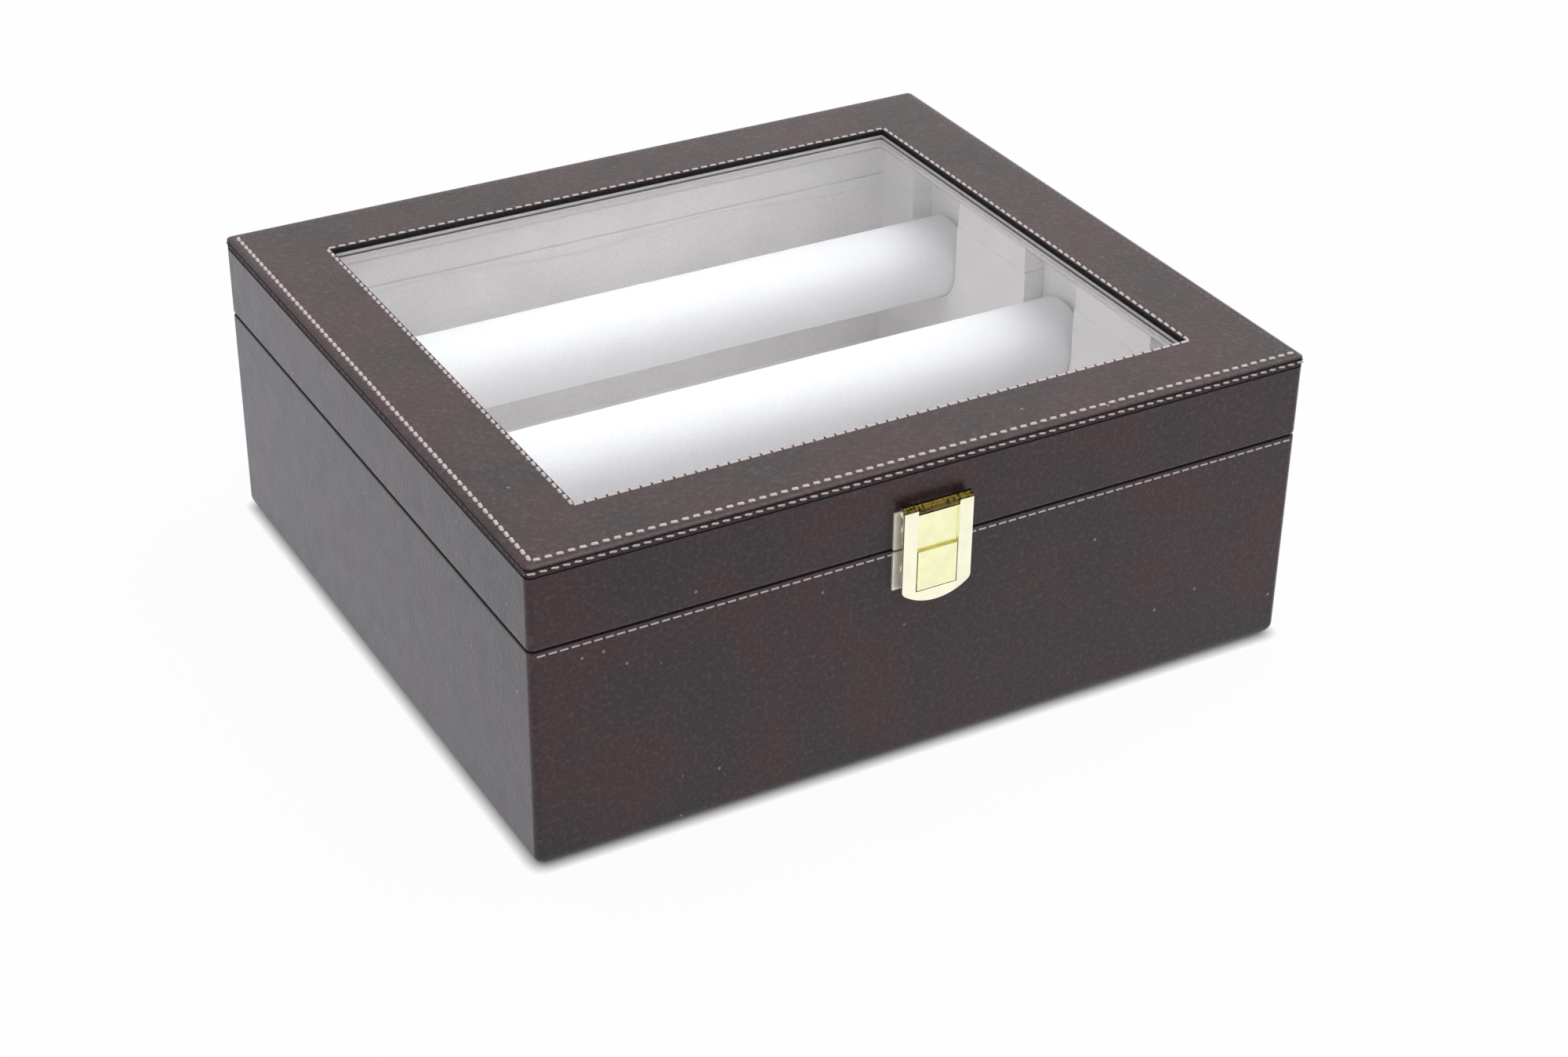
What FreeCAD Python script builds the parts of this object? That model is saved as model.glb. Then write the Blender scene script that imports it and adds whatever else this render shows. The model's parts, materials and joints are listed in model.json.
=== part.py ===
# Bangle box: a leather-covered box with a glass lid and lift-out bangle rolls.
# Millimetres. +X runs to the right along the front, +Y from the front to the back, +Z up.
# The origin is the middle of the flat face that the box stands on.
import FreeCAD
import Part
import os

# Outside of the closed box without its metal fittings
box_width = 270.0
box_depth = 240.0
box_height = 105.0
lid_height = 28.5

# What the walls are made of, from the outside in
leather = 1.0
board = 5.0
lining = 1.0

# Rounding of the leather
wall_edge_radius = 2.0
foot_edge_radius = 4.5
top_edge_radius = 1.5
rim_edge_radius = 0.8
cut_edge_radius = 0.4

# Width of the leather turned in under the box
turned_margin = 10.0

# Window in the lid
side_border = 28.0
front_border = 26.6
window_recess = 3.0
glass = 2.0
glass_bearing = 4.5
glass_clearance = 0.3
liner = 2.0
liner_reveal = 0.4
liner_edge_radius = 1.2

# Stitching, a thread sunk in a groove of the leather
thread_width = 0.6
thread_depth = 0.4
edge_stitch_inset = 3.1
window_stitch_inset = 1.6
rim_stitch_drop = 2.2

# Bangle rolls
roll_count = 3
roll_radius = 15.0
roll_pitch = 75.5
roll_axis_height = 57.4
roll_end_play = 0.8
roll_cover = 0.6
roll_core_radius = 12.5
roll_core_wall = 2.0
roll_plug = 4.0
cover_turn_in = 7.0

# Boards and blocks at both ends of the rolls, and the gap where linings meet at the seam
end_board = 8.0
end_board_gap = 0.25
cradle_clearance = 0.3
lid_slot_clearance = 1.0
lining_gap = 0.2

# Latch at the middle of the front
latch_offset = -2.4
latch_plate = 1.0
latch_plate_width = 27.2
latch_plate_gap = 0.4
lid_plate_height = 12.6
catch_plate_height = 13.3
latch_screw_spacing = 19.0
latch_pin_radius = 0.8
latch_pin_rise = 14.0
latch_knuckle_radius = 1.7
latch_stand_off = 2.6
flap = 1.0
flap_width = 24.2
flap_drop = 32.6
flap_foot = 4.2
flap_sag = 4.5
flap_corner_radius = 2.5
ear_width = 4.9
tongue = 0.8
tongue_slit = 0.3
tongue_wing = 1.8
tab_height = 13.8
stud_width = 7.0
stud_height = 3.6
stud_gap = 0.4

# Hinges on the back
hinge_spacing = 150.0
hinge_width = 30.0
hinge_leaf = 0.8
hinge_leaf_height = 11.6
hinge_screw_spacing = 20.0
hinge_knuckle_radius = 1.9
hinge_wall_gap = 0.3
hinge_pin_radius = 0.95
hinge_pin_head = 0.5

# Fits shared by the latch and the hinges
pin_clearance = 0.05
knuckle_gap = 0.2
leaf_relief = 0.5

# Screws
screw_radius = 0.8
screw_length = 5.4
screw_head_radius = 1.5
screw_head = 0.6
screw_slot = 0.4
screw_clearance = 0.05
screw_tip_gap = 0.3

# Places that follow from the sizes
half_width = box_width / 2
half_depth = box_depth / 2
board_x = half_width - leather
board_y = half_depth - leather
inner_x = board_x - board
inner_y = board_y - board
lined_x = inner_x - lining
lined_y = inner_y - lining
end_x = lined_x - end_board
seam = box_height - lid_height
bottom_board_top = leather + board
floor = bottom_board_top + lining
base_rim = seam - leather
lid_rim = seam + leather
top_board_top = box_height - leather
top_board_bottom = top_board_top - board
liner_bottom = top_board_bottom - liner
window_x = half_width - side_border
window_y = half_depth - front_border
glass_top = box_height - window_recess
glass_bottom = glass_top - glass
glass_x = window_x + glass_bearing
glass_y = window_y + glass_bearing
face_stitch_z = box_height - top_edge_radius - thread_width / 2
top_wrap_bottom = face_stitch_z - thread_width / 2 - cut_edge_radius
roll_half_length = lined_x - roll_end_play
roll_rows = [roll_pitch * (row - (roll_count - 1) / 2) for row in range(roll_count)]
latch_pin_y = -half_depth - latch_stand_off
latch_pin_z = seam + latch_pin_rise
flap_face = latch_pin_y - latch_knuckle_radius
flap_back = flap_face + flap
tab_back = flap_face + tongue
flap_opening = flap_width / 2 - ear_width
lid_plate_bottom = seam + latch_plate_gap
catch_plate_top = seam - latch_plate_gap
lid_screw_z = lid_plate_bottom + lid_plate_height / 2
catch_screw_z = catch_plate_top - catch_plate_height / 2
hinge_pin_y = half_depth + hinge_wall_gap + hinge_knuckle_radius
hinge_leaf_start = hinge_knuckle_radius + leaf_relief
hinge_screw_rise = hinge_leaf_start + hinge_leaf_height / 2


def block(corner, opposite):
    """A box between two opposite corners."""
    low = [min(pair) for pair in zip(corner, opposite)]
    high = [max(pair) for pair in zip(corner, opposite)]
    sizes = [b - a for a, b in zip(low, high)]
    return Part.makeBox(*sizes, FreeCAD.Vector(*low))


def slab(x, y, low, high):
    """A plate centred on the Z axis with half sizes x and y."""
    return block((-x, -y, low), (x, y, high))


def bar(radius, start, end, y, z):
    """A round bar along X."""
    return Part.makeCylinder(radius, end - start, FreeCAD.Vector(start, y, z), FreeCAD.Vector(1, 0, 0))


def joined(*shapes):
    """One solid from pieces that meet or overlap."""
    whole = shapes[0]
    for shape in shapes[1:]:
        whole = whole.fuse(shape)
    return whole.removeSplitter()


def mirrored(shape):
    """The same piece on the other side, left for right."""
    return shape.mirror(FreeCAD.Vector(0, 0, 0), FreeCAD.Vector(1, 0, 0))


def rounded(shape, radius, test):
    """Rounds every edge whose two ends pass a test."""
    edges = [edge for edge in shape.Edges if all(test(vertex.Point) for vertex in edge.Vertexes)]
    return shape.makeFillet(radius, edges)


def rounded_uprights(shape, radius):
    """Rounds the long upright edges of a box."""
    edges = []
    for edge in shape.Edges:
        ends = [vertex.Point for vertex in edge.Vertexes]
        if abs(ends[0].x - ends[-1].x) < 0.001 and abs(ends[0].y - ends[-1].y) < 0.001:
            edges.append(edge)
    return shape.makeFillet(radius, edges)


def at_height(z):
    """A test for points at one height."""
    return lambda point: abs(point.z - z) < 0.001


def outer_box(low, high):
    """The outside of the leather between two heights."""
    return rounded_uprights(slab(half_width, half_depth, low, high), wall_edge_radius)


# Screws: round slotted heads, seated on the outer face of a metal plate
def screw(x, seat, z, inward):
    head = Part.makeCylinder(screw_head_radius, screw_head, FreeCAD.Vector(x, seat, z),
                             FreeCAD.Vector(0, -inward, 0))
    head = rounded(head, screw_head / 2, lambda point: abs(point.y - seat) > screw_head / 2)
    shank = Part.makeCylinder(screw_radius, screw_length, FreeCAD.Vector(x, seat, z),
                              FreeCAD.Vector(0, inward, 0))
    slot = block((x - screw_head_radius, seat - inward * screw_head, z - screw_slot / 2),
                 (x + screw_head_radius, seat - inward * (screw_head - screw_slot / 2), z + screw_slot / 2))
    return joined(head, shank).cut(slot)


def screw_hole(x, seat, z, inward):
    return Part.makeCylinder(screw_radius + screw_clearance, screw_length + screw_tip_gap,
                             FreeCAD.Vector(x, seat, z), FreeCAD.Vector(0, inward, 0))


latch_seat = -half_depth - latch_plate
hinge_seat = half_depth + hinge_leaf
latch_screw_places = [latch_offset - latch_screw_spacing / 2, latch_offset + latch_screw_spacing / 2]
hinge_places = [-hinge_spacing / 2, hinge_spacing / 2]
hinge_screw_places = [x + offset for x in hinge_places
                      for offset in (-hinge_screw_spacing / 2, hinge_screw_spacing / 2)]

catch_screws = Part.Compound([screw(x, latch_seat, catch_screw_z, 1) for x in latch_screw_places])
lid_screws = Part.Compound([screw(x, latch_seat, lid_screw_z, 1) for x in latch_screw_places])
base_hinge_screws = Part.Compound([screw(x, hinge_seat, seam - hinge_screw_rise, -1)
                                   for x in hinge_screw_places])
lid_hinge_screws = Part.Compound([screw(x, hinge_seat, seam + hinge_screw_rise, -1)
                                  for x in hinge_screw_places])
catch_holes = Part.Compound([screw_hole(x, latch_seat, catch_screw_z, 1) for x in latch_screw_places])
lid_holes = Part.Compound([screw_hole(x, latch_seat, lid_screw_z, 1) for x in latch_screw_places])
base_hinge_holes = Part.Compound([screw_hole(x, hinge_seat, seam - hinge_screw_rise, -1)
                                  for x in hinge_screw_places])
lid_hinge_holes = Part.Compound([screw_hole(x, hinge_seat, seam + hinge_screw_rise, -1)
                                 for x in hinge_screw_places])

pieces = {}


# Box walls: front and back boards run the full width, side boards stand between them
def wall_boards(prefix, low, high, front_holes, back_holes):
    side = block((-board_x, -inner_y, low), (-inner_x, inner_y, high))
    front = block((-board_x, -board_y, low), (board_x, -inner_y, high))
    back = block((-board_x, inner_y, low), (board_x, board_y, high))
    pieces[prefix + "_front_board"] = front.cut(front_holes)
    pieces[prefix + "_back_board"] = back.cut(back_holes)
    pieces[prefix + "_left_board"] = side
    pieces[prefix + "_right_board"] = mirrored(side)


# Velvet glued to the inner faces of the walls
def wall_linings(prefix, low, high):
    front = block((-inner_x, -inner_y, low), (inner_x, -lined_y, high))
    back = block((-inner_x, lined_y, low), (inner_x, inner_y, high))
    side = block((-inner_x, -lined_y, low), (-lined_x, lined_y, high))
    pieces[prefix + "_front_lining"] = front
    pieces[prefix + "_back_lining"] = back
    pieces[prefix + "_left_lining"] = side
    pieces[prefix + "_right_lining"] = mirrored(side)


# Base: bottom board with its edges rounded under the leather, four walls and their linings
bottom_board = slab(board_x, board_y, leather, bottom_board_top)
pieces["base_bottom_board"] = rounded(bottom_board, foot_edge_radius - leather, at_height(leather))
wall_boards("base", bottom_board_top, base_rim, catch_holes, base_hinge_holes)
pieces["base_floor_lining"] = slab(inner_x, inner_y, bottom_board_top, floor)
wall_linings("base", floor, seam - lining_gap)

# Cover sheet inside the turned-in leather under the box
cover_x = half_width - turned_margin
cover_y = half_depth - turned_margin
pieces["base_bottom_cover"] = slab(cover_x, cover_y, 0, leather)

# Thread along the front just under the rim
rim_stitch_z = seam - rim_stitch_drop
thread_end = half_width - wall_edge_radius
pieces["base_rim_stitching"] = block((-thread_end, -half_depth, rim_stitch_z - thread_width / 2),
                                     (thread_end, -half_depth + thread_depth, rim_stitch_z + thread_width / 2))

# Base leather: outside, over the rim and in under the bottom
base_outside = rounded(slab(half_width, half_depth, 0, seam), foot_edge_radius, at_height(0))
base_outside = rounded_uprights(base_outside, wall_edge_radius)
base_outside = rounded(base_outside, rim_edge_radius, at_height(seam))
base_hollow = rounded(slab(board_x, board_y, leather, base_rim), foot_edge_radius - leather,
                      at_height(leather))
base_leather = base_outside.cut(base_hollow)
base_leather = base_leather.cut(slab(inner_x, inner_y, base_rim, seam))
base_leather = base_leather.cut(slab(cover_x, cover_y, 0, leather))
base_leather = base_leather.cut(pieces["base_rim_stitching"])
pieces["base_leather_wrap"] = base_leather.cut(catch_holes).cut(base_hinge_holes)

# Cradle boards: velvet-covered, with a round-bottomed notch under each roll end
left_cradle = block((-lined_x, -lined_y, floor), (-end_x, lined_y, seam - end_board_gap))
for y in roll_rows:
    notch = roll_radius + cradle_clearance
    left_cradle = left_cradle.cut(bar(notch, -lined_x, -end_x, y, roll_axis_height))
    left_cradle = left_cradle.cut(block((-lined_x, y - notch, roll_axis_height), (-end_x, y + notch, seam)))
pieces["left_roll_cradle"] = left_cradle
pieces["right_roll_cradle"] = mirrored(left_cradle)

# Lid: walls, linings and the top board with a rabbet under the window for the glass
wall_boards("lid", lid_rim, top_board_bottom, lid_holes, lid_hinge_holes)
wall_linings("lid", seam + lining_gap, liner_bottom)
top_board = slab(board_x, board_y, top_board_bottom, top_board_top)
top_board = top_board.cut(slab(window_x + leather, window_y + leather, glass_top, top_board_top))
pieces["lid_top_board"] = top_board.cut(slab(glass_x + glass_clearance, glass_y + glass_clearance,
                                             top_board_bottom, glass_top))
pieces["glass_pane"] = slab(glass_x, glass_y, glass_bottom, glass_top)

# Liner frame: covers the underside of the top board and presses the glass up into its rabbet
liner_x = window_x - liner_reveal
liner_y = window_y - liner_reveal
liner_frame = joined(slab(inner_x, inner_y, liner_bottom, top_board_bottom),
                     slab(glass_x, glass_y, top_board_bottom, glass_bottom))
liner_frame = liner_frame.cut(slab(liner_x, liner_y, liner_bottom, glass_bottom))
pieces["window_liner_frame"] = rounded(liner_frame, liner_edge_radius, lambda point:
                                       abs(point.z - liner_bottom) < 0.001 and abs(point.x) < glass_x)

# Threads of the lid: on top near the outer edge, round the face below it, and round the window
def thread_ring(x, y):
    half = thread_width / 2
    ring = slab(x + half, y + half, box_height - thread_depth, box_height)
    return ring.cut(slab(x - half, y - half, box_height - thread_depth, box_height))


face_low = face_stitch_z - thread_width / 2
face_high = face_stitch_z + thread_width / 2
face_inside = slab(half_width - thread_depth, half_depth - thread_depth, face_low, face_high)
face_thread = outer_box(face_low, face_high).cut(rounded_uprights(face_inside, wall_edge_radius - thread_depth))
top_thread = thread_ring(half_width - edge_stitch_inset, half_depth - edge_stitch_inset)
pieces["lid_edge_stitching"] = Part.Compound([top_thread, face_thread])
pieces["lid_window_stitching"] = thread_ring(window_x + window_stitch_inset, window_y + window_stitch_inset)

# Top leather: over the top edge on the outside and down to the glass in the window
top_leather = outer_box(top_wrap_bottom, box_height)
top_leather = rounded(top_leather, top_edge_radius, at_height(box_height))
top_leather = rounded(top_leather, cut_edge_radius, at_height(top_wrap_bottom))
top_leather = top_leather.cut(slab(board_x, board_y, top_wrap_bottom, top_board_top))
top_leather = joined(top_leather, slab(window_x + leather, window_y + leather, glass_top, top_board_top))
top_leather = top_leather.cut(slab(window_x, window_y, glass_top, box_height))
top_leather = rounded(top_leather, rim_edge_radius, lambda point:
                      abs(point.z - box_height) < 0.001 and abs(point.x) < window_x + leather)
top_leather = top_leather.cut(pieces["lid_edge_stitching"])
pieces["lid_top_leather"] = top_leather.cut(pieces["lid_window_stitching"])

# Side leather: from under the top leather down, and turned in over the rim of the lid
side_leather = rounded(outer_box(seam, top_wrap_bottom), rim_edge_radius, at_height(seam))
side_leather = rounded(side_leather, cut_edge_radius, at_height(top_wrap_bottom))
side_leather = side_leather.cut(slab(board_x, board_y, lid_rim, top_wrap_bottom))
side_leather = side_leather.cut(slab(inner_x, inner_y, seam, lid_rim))
pieces["lid_side_leather"] = side_leather.cut(lid_holes).cut(lid_hinge_holes)

# End blocks of the lid: carry on above the cradles, between slots that let the rolls be lifted
slot = roll_radius + lid_slot_clearance
block_edges = [-lined_y] + [y + side * slot for y in roll_rows for side in (-1, 1)] + [lined_y]
left_blocks = Part.Compound([block((-lined_x, start, seam + end_board_gap), (-end_x, end, liner_bottom))
                             for start, end in zip(block_edges[::2], block_edges[1::2])])
pieces["lid_left_end_blocks"] = left_blocks
pieces["lid_right_end_blocks"] = mirrored(left_blocks)

# Rolls: a card tube wrapped in padding and velvet, with a plug in each end
for name, y in zip(("front_roll", "middle_roll", "back_roll"), roll_rows):
    core_end = roll_half_length - roll_cover
    padding_radius = roll_radius - roll_cover
    bore_radius = roll_core_radius - roll_core_wall
    core_bar = bar(roll_core_radius, -core_end, core_end, y, roll_axis_height)
    pieces[name + "_core"] = core_bar.cut(bar(bore_radius, -core_end, core_end, y, roll_axis_height))
    padding_bar = bar(padding_radius, -core_end, core_end, y, roll_axis_height)
    pieces[name + "_padding"] = padding_bar.cut(core_bar)
    cover = bar(roll_radius, -roll_half_length, roll_half_length, y, roll_axis_height).cut(padding_bar)
    cover_hole = bar(roll_radius - cover_turn_in, -roll_half_length, roll_half_length, y, roll_axis_height)
    pieces[name + "_cover"] = cover.cut(cover_hole)
    left_plug = bar(bore_radius, -core_end, roll_plug - core_end, y, roll_axis_height)
    pieces[name + "_end_plugs"] = Part.Compound([left_plug, mirrored(left_plug)])


def latch_block(half, low_y, high_y, low, high):
    """A box centred on the latch."""
    return block((latch_offset - half, low_y, low), (latch_offset + half, high_y, high))


def latch_bar(radius, start, end):
    """A round bar along the latch pin, its ends measured from the middle of the latch."""
    return bar(radius, latch_offset + start, latch_offset + end, latch_pin_y, latch_pin_z)


# Latch: plates on lid and base, the pin, the flap and the tongue riveted behind its rails
latch_bore = latch_bar(latch_pin_radius + pin_clearance, -flap_width, flap_width)
knuckle_half = flap_opening - knuckle_gap
lid_plate = joined(
    latch_block(latch_plate_width / 2, latch_seat, -half_depth, lid_plate_bottom,
                lid_plate_bottom + lid_plate_height),
    latch_block(knuckle_half, latch_pin_y, -half_depth, latch_pin_z - latch_knuckle_radius, latch_pin_z),
    latch_bar(latch_knuckle_radius, -knuckle_half, knuckle_half))
pieces["latch_lid_plate"] = lid_plate.cut(latch_bore).cut(lid_holes)
pieces["latch_lid_screws"] = lid_screws
pieces["latch_pin"] = latch_bar(latch_pin_radius, -flap_width / 2, flap_width / 2)

catch_plate = joined(
    latch_block(latch_plate_width / 2, latch_seat, -half_depth, catch_plate_top - catch_plate_height,
                catch_plate_top),
    latch_block(stud_width / 2, tab_back + stud_gap, latch_seat, catch_screw_z - stud_height / 2,
                catch_screw_z + stud_height / 2))
pieces["latch_catch_plate"] = catch_plate.cut(catch_holes)
pieces["latch_catch_screws"] = catch_screws

flap_bottom = latch_pin_z - flap_drop
flap_corner_z = flap_bottom + flap_sag
flap_window_z = flap_bottom + flap_foot
arc_radius = (flap_width ** 2 / 4 + flap_sag ** 2) / (2 * flap_sag)
flap_arc = Part.makeCylinder(arc_radius, flap, FreeCAD.Vector(latch_offset, flap_face, flap_bottom + arc_radius),
                             FreeCAD.Vector(0, 1, 0))
flap_plate = latch_block(flap_width / 2, flap_face, flap_back, flap_bottom, latch_pin_z)
flap_plate = flap_plate.common(flap_arc.fuse(latch_block(flap_width, flap_face, flap_back, flap_corner_z,
                                                         latch_pin_z))).removeSplitter()
flap_plate = rounded(flap_plate, flap_corner_radius, at_height(flap_corner_z))
flap_plate = joined(flap_plate,
                    latch_bar(latch_knuckle_radius, -flap_width / 2, -flap_opening),
                    latch_bar(latch_knuckle_radius, flap_opening, flap_width / 2))
flap_plate = flap_plate.cut(latch_block(flap_opening, flap_face, flap_back, flap_window_z, latch_pin_z))
pieces["latch_flap"] = flap_plate.cut(latch_bore)

tab_half = flap_opening - tongue_slit
tab_bottom = flap_window_z + tongue_slit
tab_top = tab_bottom + tab_height
panel_top = latch_pin_z - latch_knuckle_radius - leaf_relief
pieces["latch_spring_tongue"] = joined(
    latch_block(tab_half, flap_face, tab_back, tab_bottom, tab_top),
    latch_block(tab_half, flap_face, flap_back + tongue, tab_top - tongue, tab_top),
    latch_block(tab_half + tongue_wing, flap_back, flap_back + tongue, tab_top - tongue, panel_top))


# Hinges: the base leaf has the two outer knuckles and the lid leaf the middle one
def hinge_leaf_piece(middle, side, spans, holes):
    start = seam + side * hinge_leaf_start
    end = start + side * hinge_leaf_height
    leaf = block((middle - hinge_width / 2, half_depth, start),
                 (middle + hinge_width / 2, half_depth + hinge_leaf, end))
    for low, high in spans:
        web = block((middle + low, half_depth, seam), (middle + high, hinge_pin_y, seam + side * hinge_knuckle_radius))
        neck = block((middle + low, half_depth, seam), (middle + high, half_depth + hinge_leaf, end))
        knuckle = bar(hinge_knuckle_radius, middle + low, middle + high, hinge_pin_y, seam)
        leaf = joined(leaf, web, neck, knuckle)
    bore = bar(hinge_pin_radius + pin_clearance, middle - hinge_width, middle + hinge_width, hinge_pin_y, seam)
    return leaf.cut(bore).cut(holes)


def hinge_pin(middle):
    half = hinge_width / 2
    head = hinge_pin_radius + hinge_pin_head
    return joined(bar(hinge_pin_radius, middle - half, middle + half, hinge_pin_y, seam),
                  bar(head, middle - half - hinge_pin_head, middle - half, hinge_pin_y, seam),
                  bar(head, middle + half, middle + half + hinge_pin_head, hinge_pin_y, seam))


third = hinge_width / 3
lid_span = [(-third / 2 + knuckle_gap / 2, third / 2 - knuckle_gap / 2)]
base_spans = [(-hinge_width / 2, -third / 2 - knuckle_gap / 2), (third / 2 + knuckle_gap / 2, hinge_width / 2)]
for name, middle in zip(("left", "right"), hinge_places):
    pieces[name + "_hinge_base_leaf"] = hinge_leaf_piece(middle, -1, base_spans, base_hinge_holes)
    pieces[name + "_hinge_lid_leaf"] = hinge_leaf_piece(middle, 1, lid_span, lid_hinge_holes)
pieces["hinge_pins"] = Part.Compound([hinge_pin(middle) for middle in hinge_places])
pieces["base_hinge_screws"] = base_hinge_screws
pieces["lid_hinge_screws"] = lid_hinge_screws

os.makedirs("parts", exist_ok=True)
for name, shape in pieces.items():
    shape.exportStep("parts/" + name + ".step")
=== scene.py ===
import json
import math

import bmesh
import bpy
from mathutils import Matrix, Vector

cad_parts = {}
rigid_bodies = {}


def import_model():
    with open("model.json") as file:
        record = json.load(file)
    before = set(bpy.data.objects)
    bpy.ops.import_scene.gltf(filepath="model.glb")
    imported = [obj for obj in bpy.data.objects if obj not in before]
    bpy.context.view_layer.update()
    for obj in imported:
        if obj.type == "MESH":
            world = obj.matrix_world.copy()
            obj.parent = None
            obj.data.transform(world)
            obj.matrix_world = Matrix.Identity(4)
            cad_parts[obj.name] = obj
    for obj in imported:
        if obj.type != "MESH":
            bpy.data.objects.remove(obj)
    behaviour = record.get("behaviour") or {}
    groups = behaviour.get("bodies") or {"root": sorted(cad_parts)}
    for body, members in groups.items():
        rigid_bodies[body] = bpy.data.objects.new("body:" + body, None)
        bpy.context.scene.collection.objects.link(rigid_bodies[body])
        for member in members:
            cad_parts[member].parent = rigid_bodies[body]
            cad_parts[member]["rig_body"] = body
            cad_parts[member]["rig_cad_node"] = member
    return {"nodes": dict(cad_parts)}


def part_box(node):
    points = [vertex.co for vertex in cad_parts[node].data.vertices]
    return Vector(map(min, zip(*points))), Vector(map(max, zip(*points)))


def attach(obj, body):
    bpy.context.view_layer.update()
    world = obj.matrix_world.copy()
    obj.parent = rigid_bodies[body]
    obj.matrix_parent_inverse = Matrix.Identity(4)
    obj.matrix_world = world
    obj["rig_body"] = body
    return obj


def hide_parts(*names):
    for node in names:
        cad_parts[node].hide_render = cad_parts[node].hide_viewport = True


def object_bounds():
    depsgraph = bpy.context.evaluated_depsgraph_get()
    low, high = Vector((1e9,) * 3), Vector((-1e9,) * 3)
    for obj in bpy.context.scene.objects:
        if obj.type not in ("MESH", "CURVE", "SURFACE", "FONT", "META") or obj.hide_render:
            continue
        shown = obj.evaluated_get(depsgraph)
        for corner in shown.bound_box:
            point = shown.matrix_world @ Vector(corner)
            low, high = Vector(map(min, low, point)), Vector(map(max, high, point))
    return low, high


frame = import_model()
cad_low, cad_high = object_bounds()
mm = 0.001

# Camera
# Stands to the left of the front at the height of a person at a table and looks down on the lid.
# Its place and turn were found from the seven corners of the box that show.
camera_place = Vector((-410.56, -749.01, 533.86)) * mm
camera_yaw = math.radians(-29.611)
camera_pitch = math.radians(31.252)
camera_roll = math.radians(0.801)
bpy.ops.object.select_all(action="DESELECT")
bpy.ops.object.camera_add(location=camera_place)
camera = bpy.context.object
camera.data.sensor_width = 36
camera.data.lens = 67.083
camera.data.clip_start = 0.01
camera_turn = (Matrix.Rotation(camera_yaw, 3, "Z")
               @ Matrix.Rotation(math.radians(90) - camera_pitch, 3, "X")
               @ Matrix.Rotation(camera_roll, 3, "Z"))
camera.rotation_euler = camera_turn.to_euler()
bpy.context.scene.camera = camera

# Light and ground
# A white table in a white studio: a broad lamp overhead, one from the right, a weak one in front.
# Sight, mirrors and glass see white. What falls on the box comes mostly from the lamps.
studio_fill = 0.65
table_width = 6.0
table_white = 0.7
table_shadow_share = 0.05
contact_shade_reach = 4.0 * mm
bpy.context.scene.view_settings.view_transform = "Standard"


def seen_directly(nodes, links):
    """1 for rays that the camera, a mirror or glass sends, 0 for rays that light a surface."""
    path = nodes.new("ShaderNodeLightPath")
    first = nodes.new("ShaderNodeMath")
    first.operation = "MAXIMUM"
    links.new(path.outputs["Is Camera Ray"], first.inputs[0])
    links.new(path.outputs["Is Glossy Ray"], first.inputs[1])
    both = nodes.new("ShaderNodeMath")
    both.operation = "MAXIMUM"
    links.new(first.outputs[0], both.inputs[0])
    links.new(path.outputs["Is Transmission Ray"], both.inputs[1])
    return both.outputs[0]


studio = bpy.data.worlds.new("studio")
bpy.context.scene.world = studio
studio.use_nodes = True
studio_nodes = studio.node_tree.nodes
studio_links = studio.node_tree.links
studio_level = studio_nodes.new("ShaderNodeMapRange")
studio_level.inputs["To Min"].default_value = studio_fill
studio_level.inputs["To Max"].default_value = 1.0
studio_links.new(seen_directly(studio_nodes, studio_links), studio_level.inputs["Value"])
studio_light = studio_nodes["Background"]
studio_light.inputs["Color"].default_value = (1, 1, 1, 1)
studio_links.new(studio_level.outputs["Result"], studio_light.inputs["Strength"])


def add_lamp(name, place, width, power):
    """A square soft box that faces the middle of the bangle box."""
    bpy.ops.object.select_all(action="DESELECT")
    bpy.ops.object.light_add(type="AREA", location=place)
    lamp = bpy.context.object
    lamp.name = name
    lamp.data.size = width
    lamp.data.energy = power
    aim = Vector((0, 0, cad_high.z / 2)) - Vector(place)
    lamp.rotation_euler = aim.to_track_quat("-Z", "Y").to_euler()


add_lamp("overhead_lamp", (0.1, 0.0, 1.5), width=1.2, power=11)
add_lamp("right_lamp", (1.3, 0.2, 1.0), width=0.9, power=5)
add_lamp("front_lamp", (0.5, -1.6, 0.9), width=1.0, power=3)

bpy.ops.object.select_all(action="DESELECT")
bpy.ops.mesh.primitive_plane_add(size=table_width)
table = bpy.context.object
table.name = "table"
table_material = bpy.data.materials.new("white_table")
table_material.use_nodes = True
table_nodes = table_material.node_tree.nodes
table_links = table_material.node_tree.links
table_nodes.remove(table_nodes["Principled BSDF"])
table_paint = table_nodes.new("ShaderNodeBsdfDiffuse")
table_paint.inputs["Color"].default_value = (table_white, table_white, table_white, 1)
table_contact = table_nodes.new("ShaderNodeAmbientOcclusion")
table_contact.inputs["Distance"].default_value = contact_shade_reach
table_glow = table_nodes.new("ShaderNodeEmission")
table_links.new(table_contact.outputs["AO"], table_glow.inputs["Strength"])
table_share = table_nodes.new("ShaderNodeMapRange")
table_share.inputs["To Min"].default_value = 0.0
table_share.inputs["To Max"].default_value = 1 - table_shadow_share
table_links.new(seen_directly(table_nodes, table_links), table_share.inputs["Value"])
table_mix = table_nodes.new("ShaderNodeMixShader")
table_links.new(table_share.outputs["Result"], table_mix.inputs["Fac"])
table_links.new(table_paint.outputs[0], table_mix.inputs[1])
table_links.new(table_glow.outputs[0], table_mix.inputs[2])
table_links.new(table_mix.outputs[0], table_nodes["Material Output"].inputs["Surface"])
table.data.materials.append(table_material)

# Boards
# The bottom, the four walls of the base and of the lid, and the frame round the window are cut
# from 5 mm fibreboard and glued. Leather and velvet cover all of them.
board_colour = (158, 128, 92)
board_fibre = 1.2 * mm
walls = ("front", "back", "left", "right")


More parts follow.
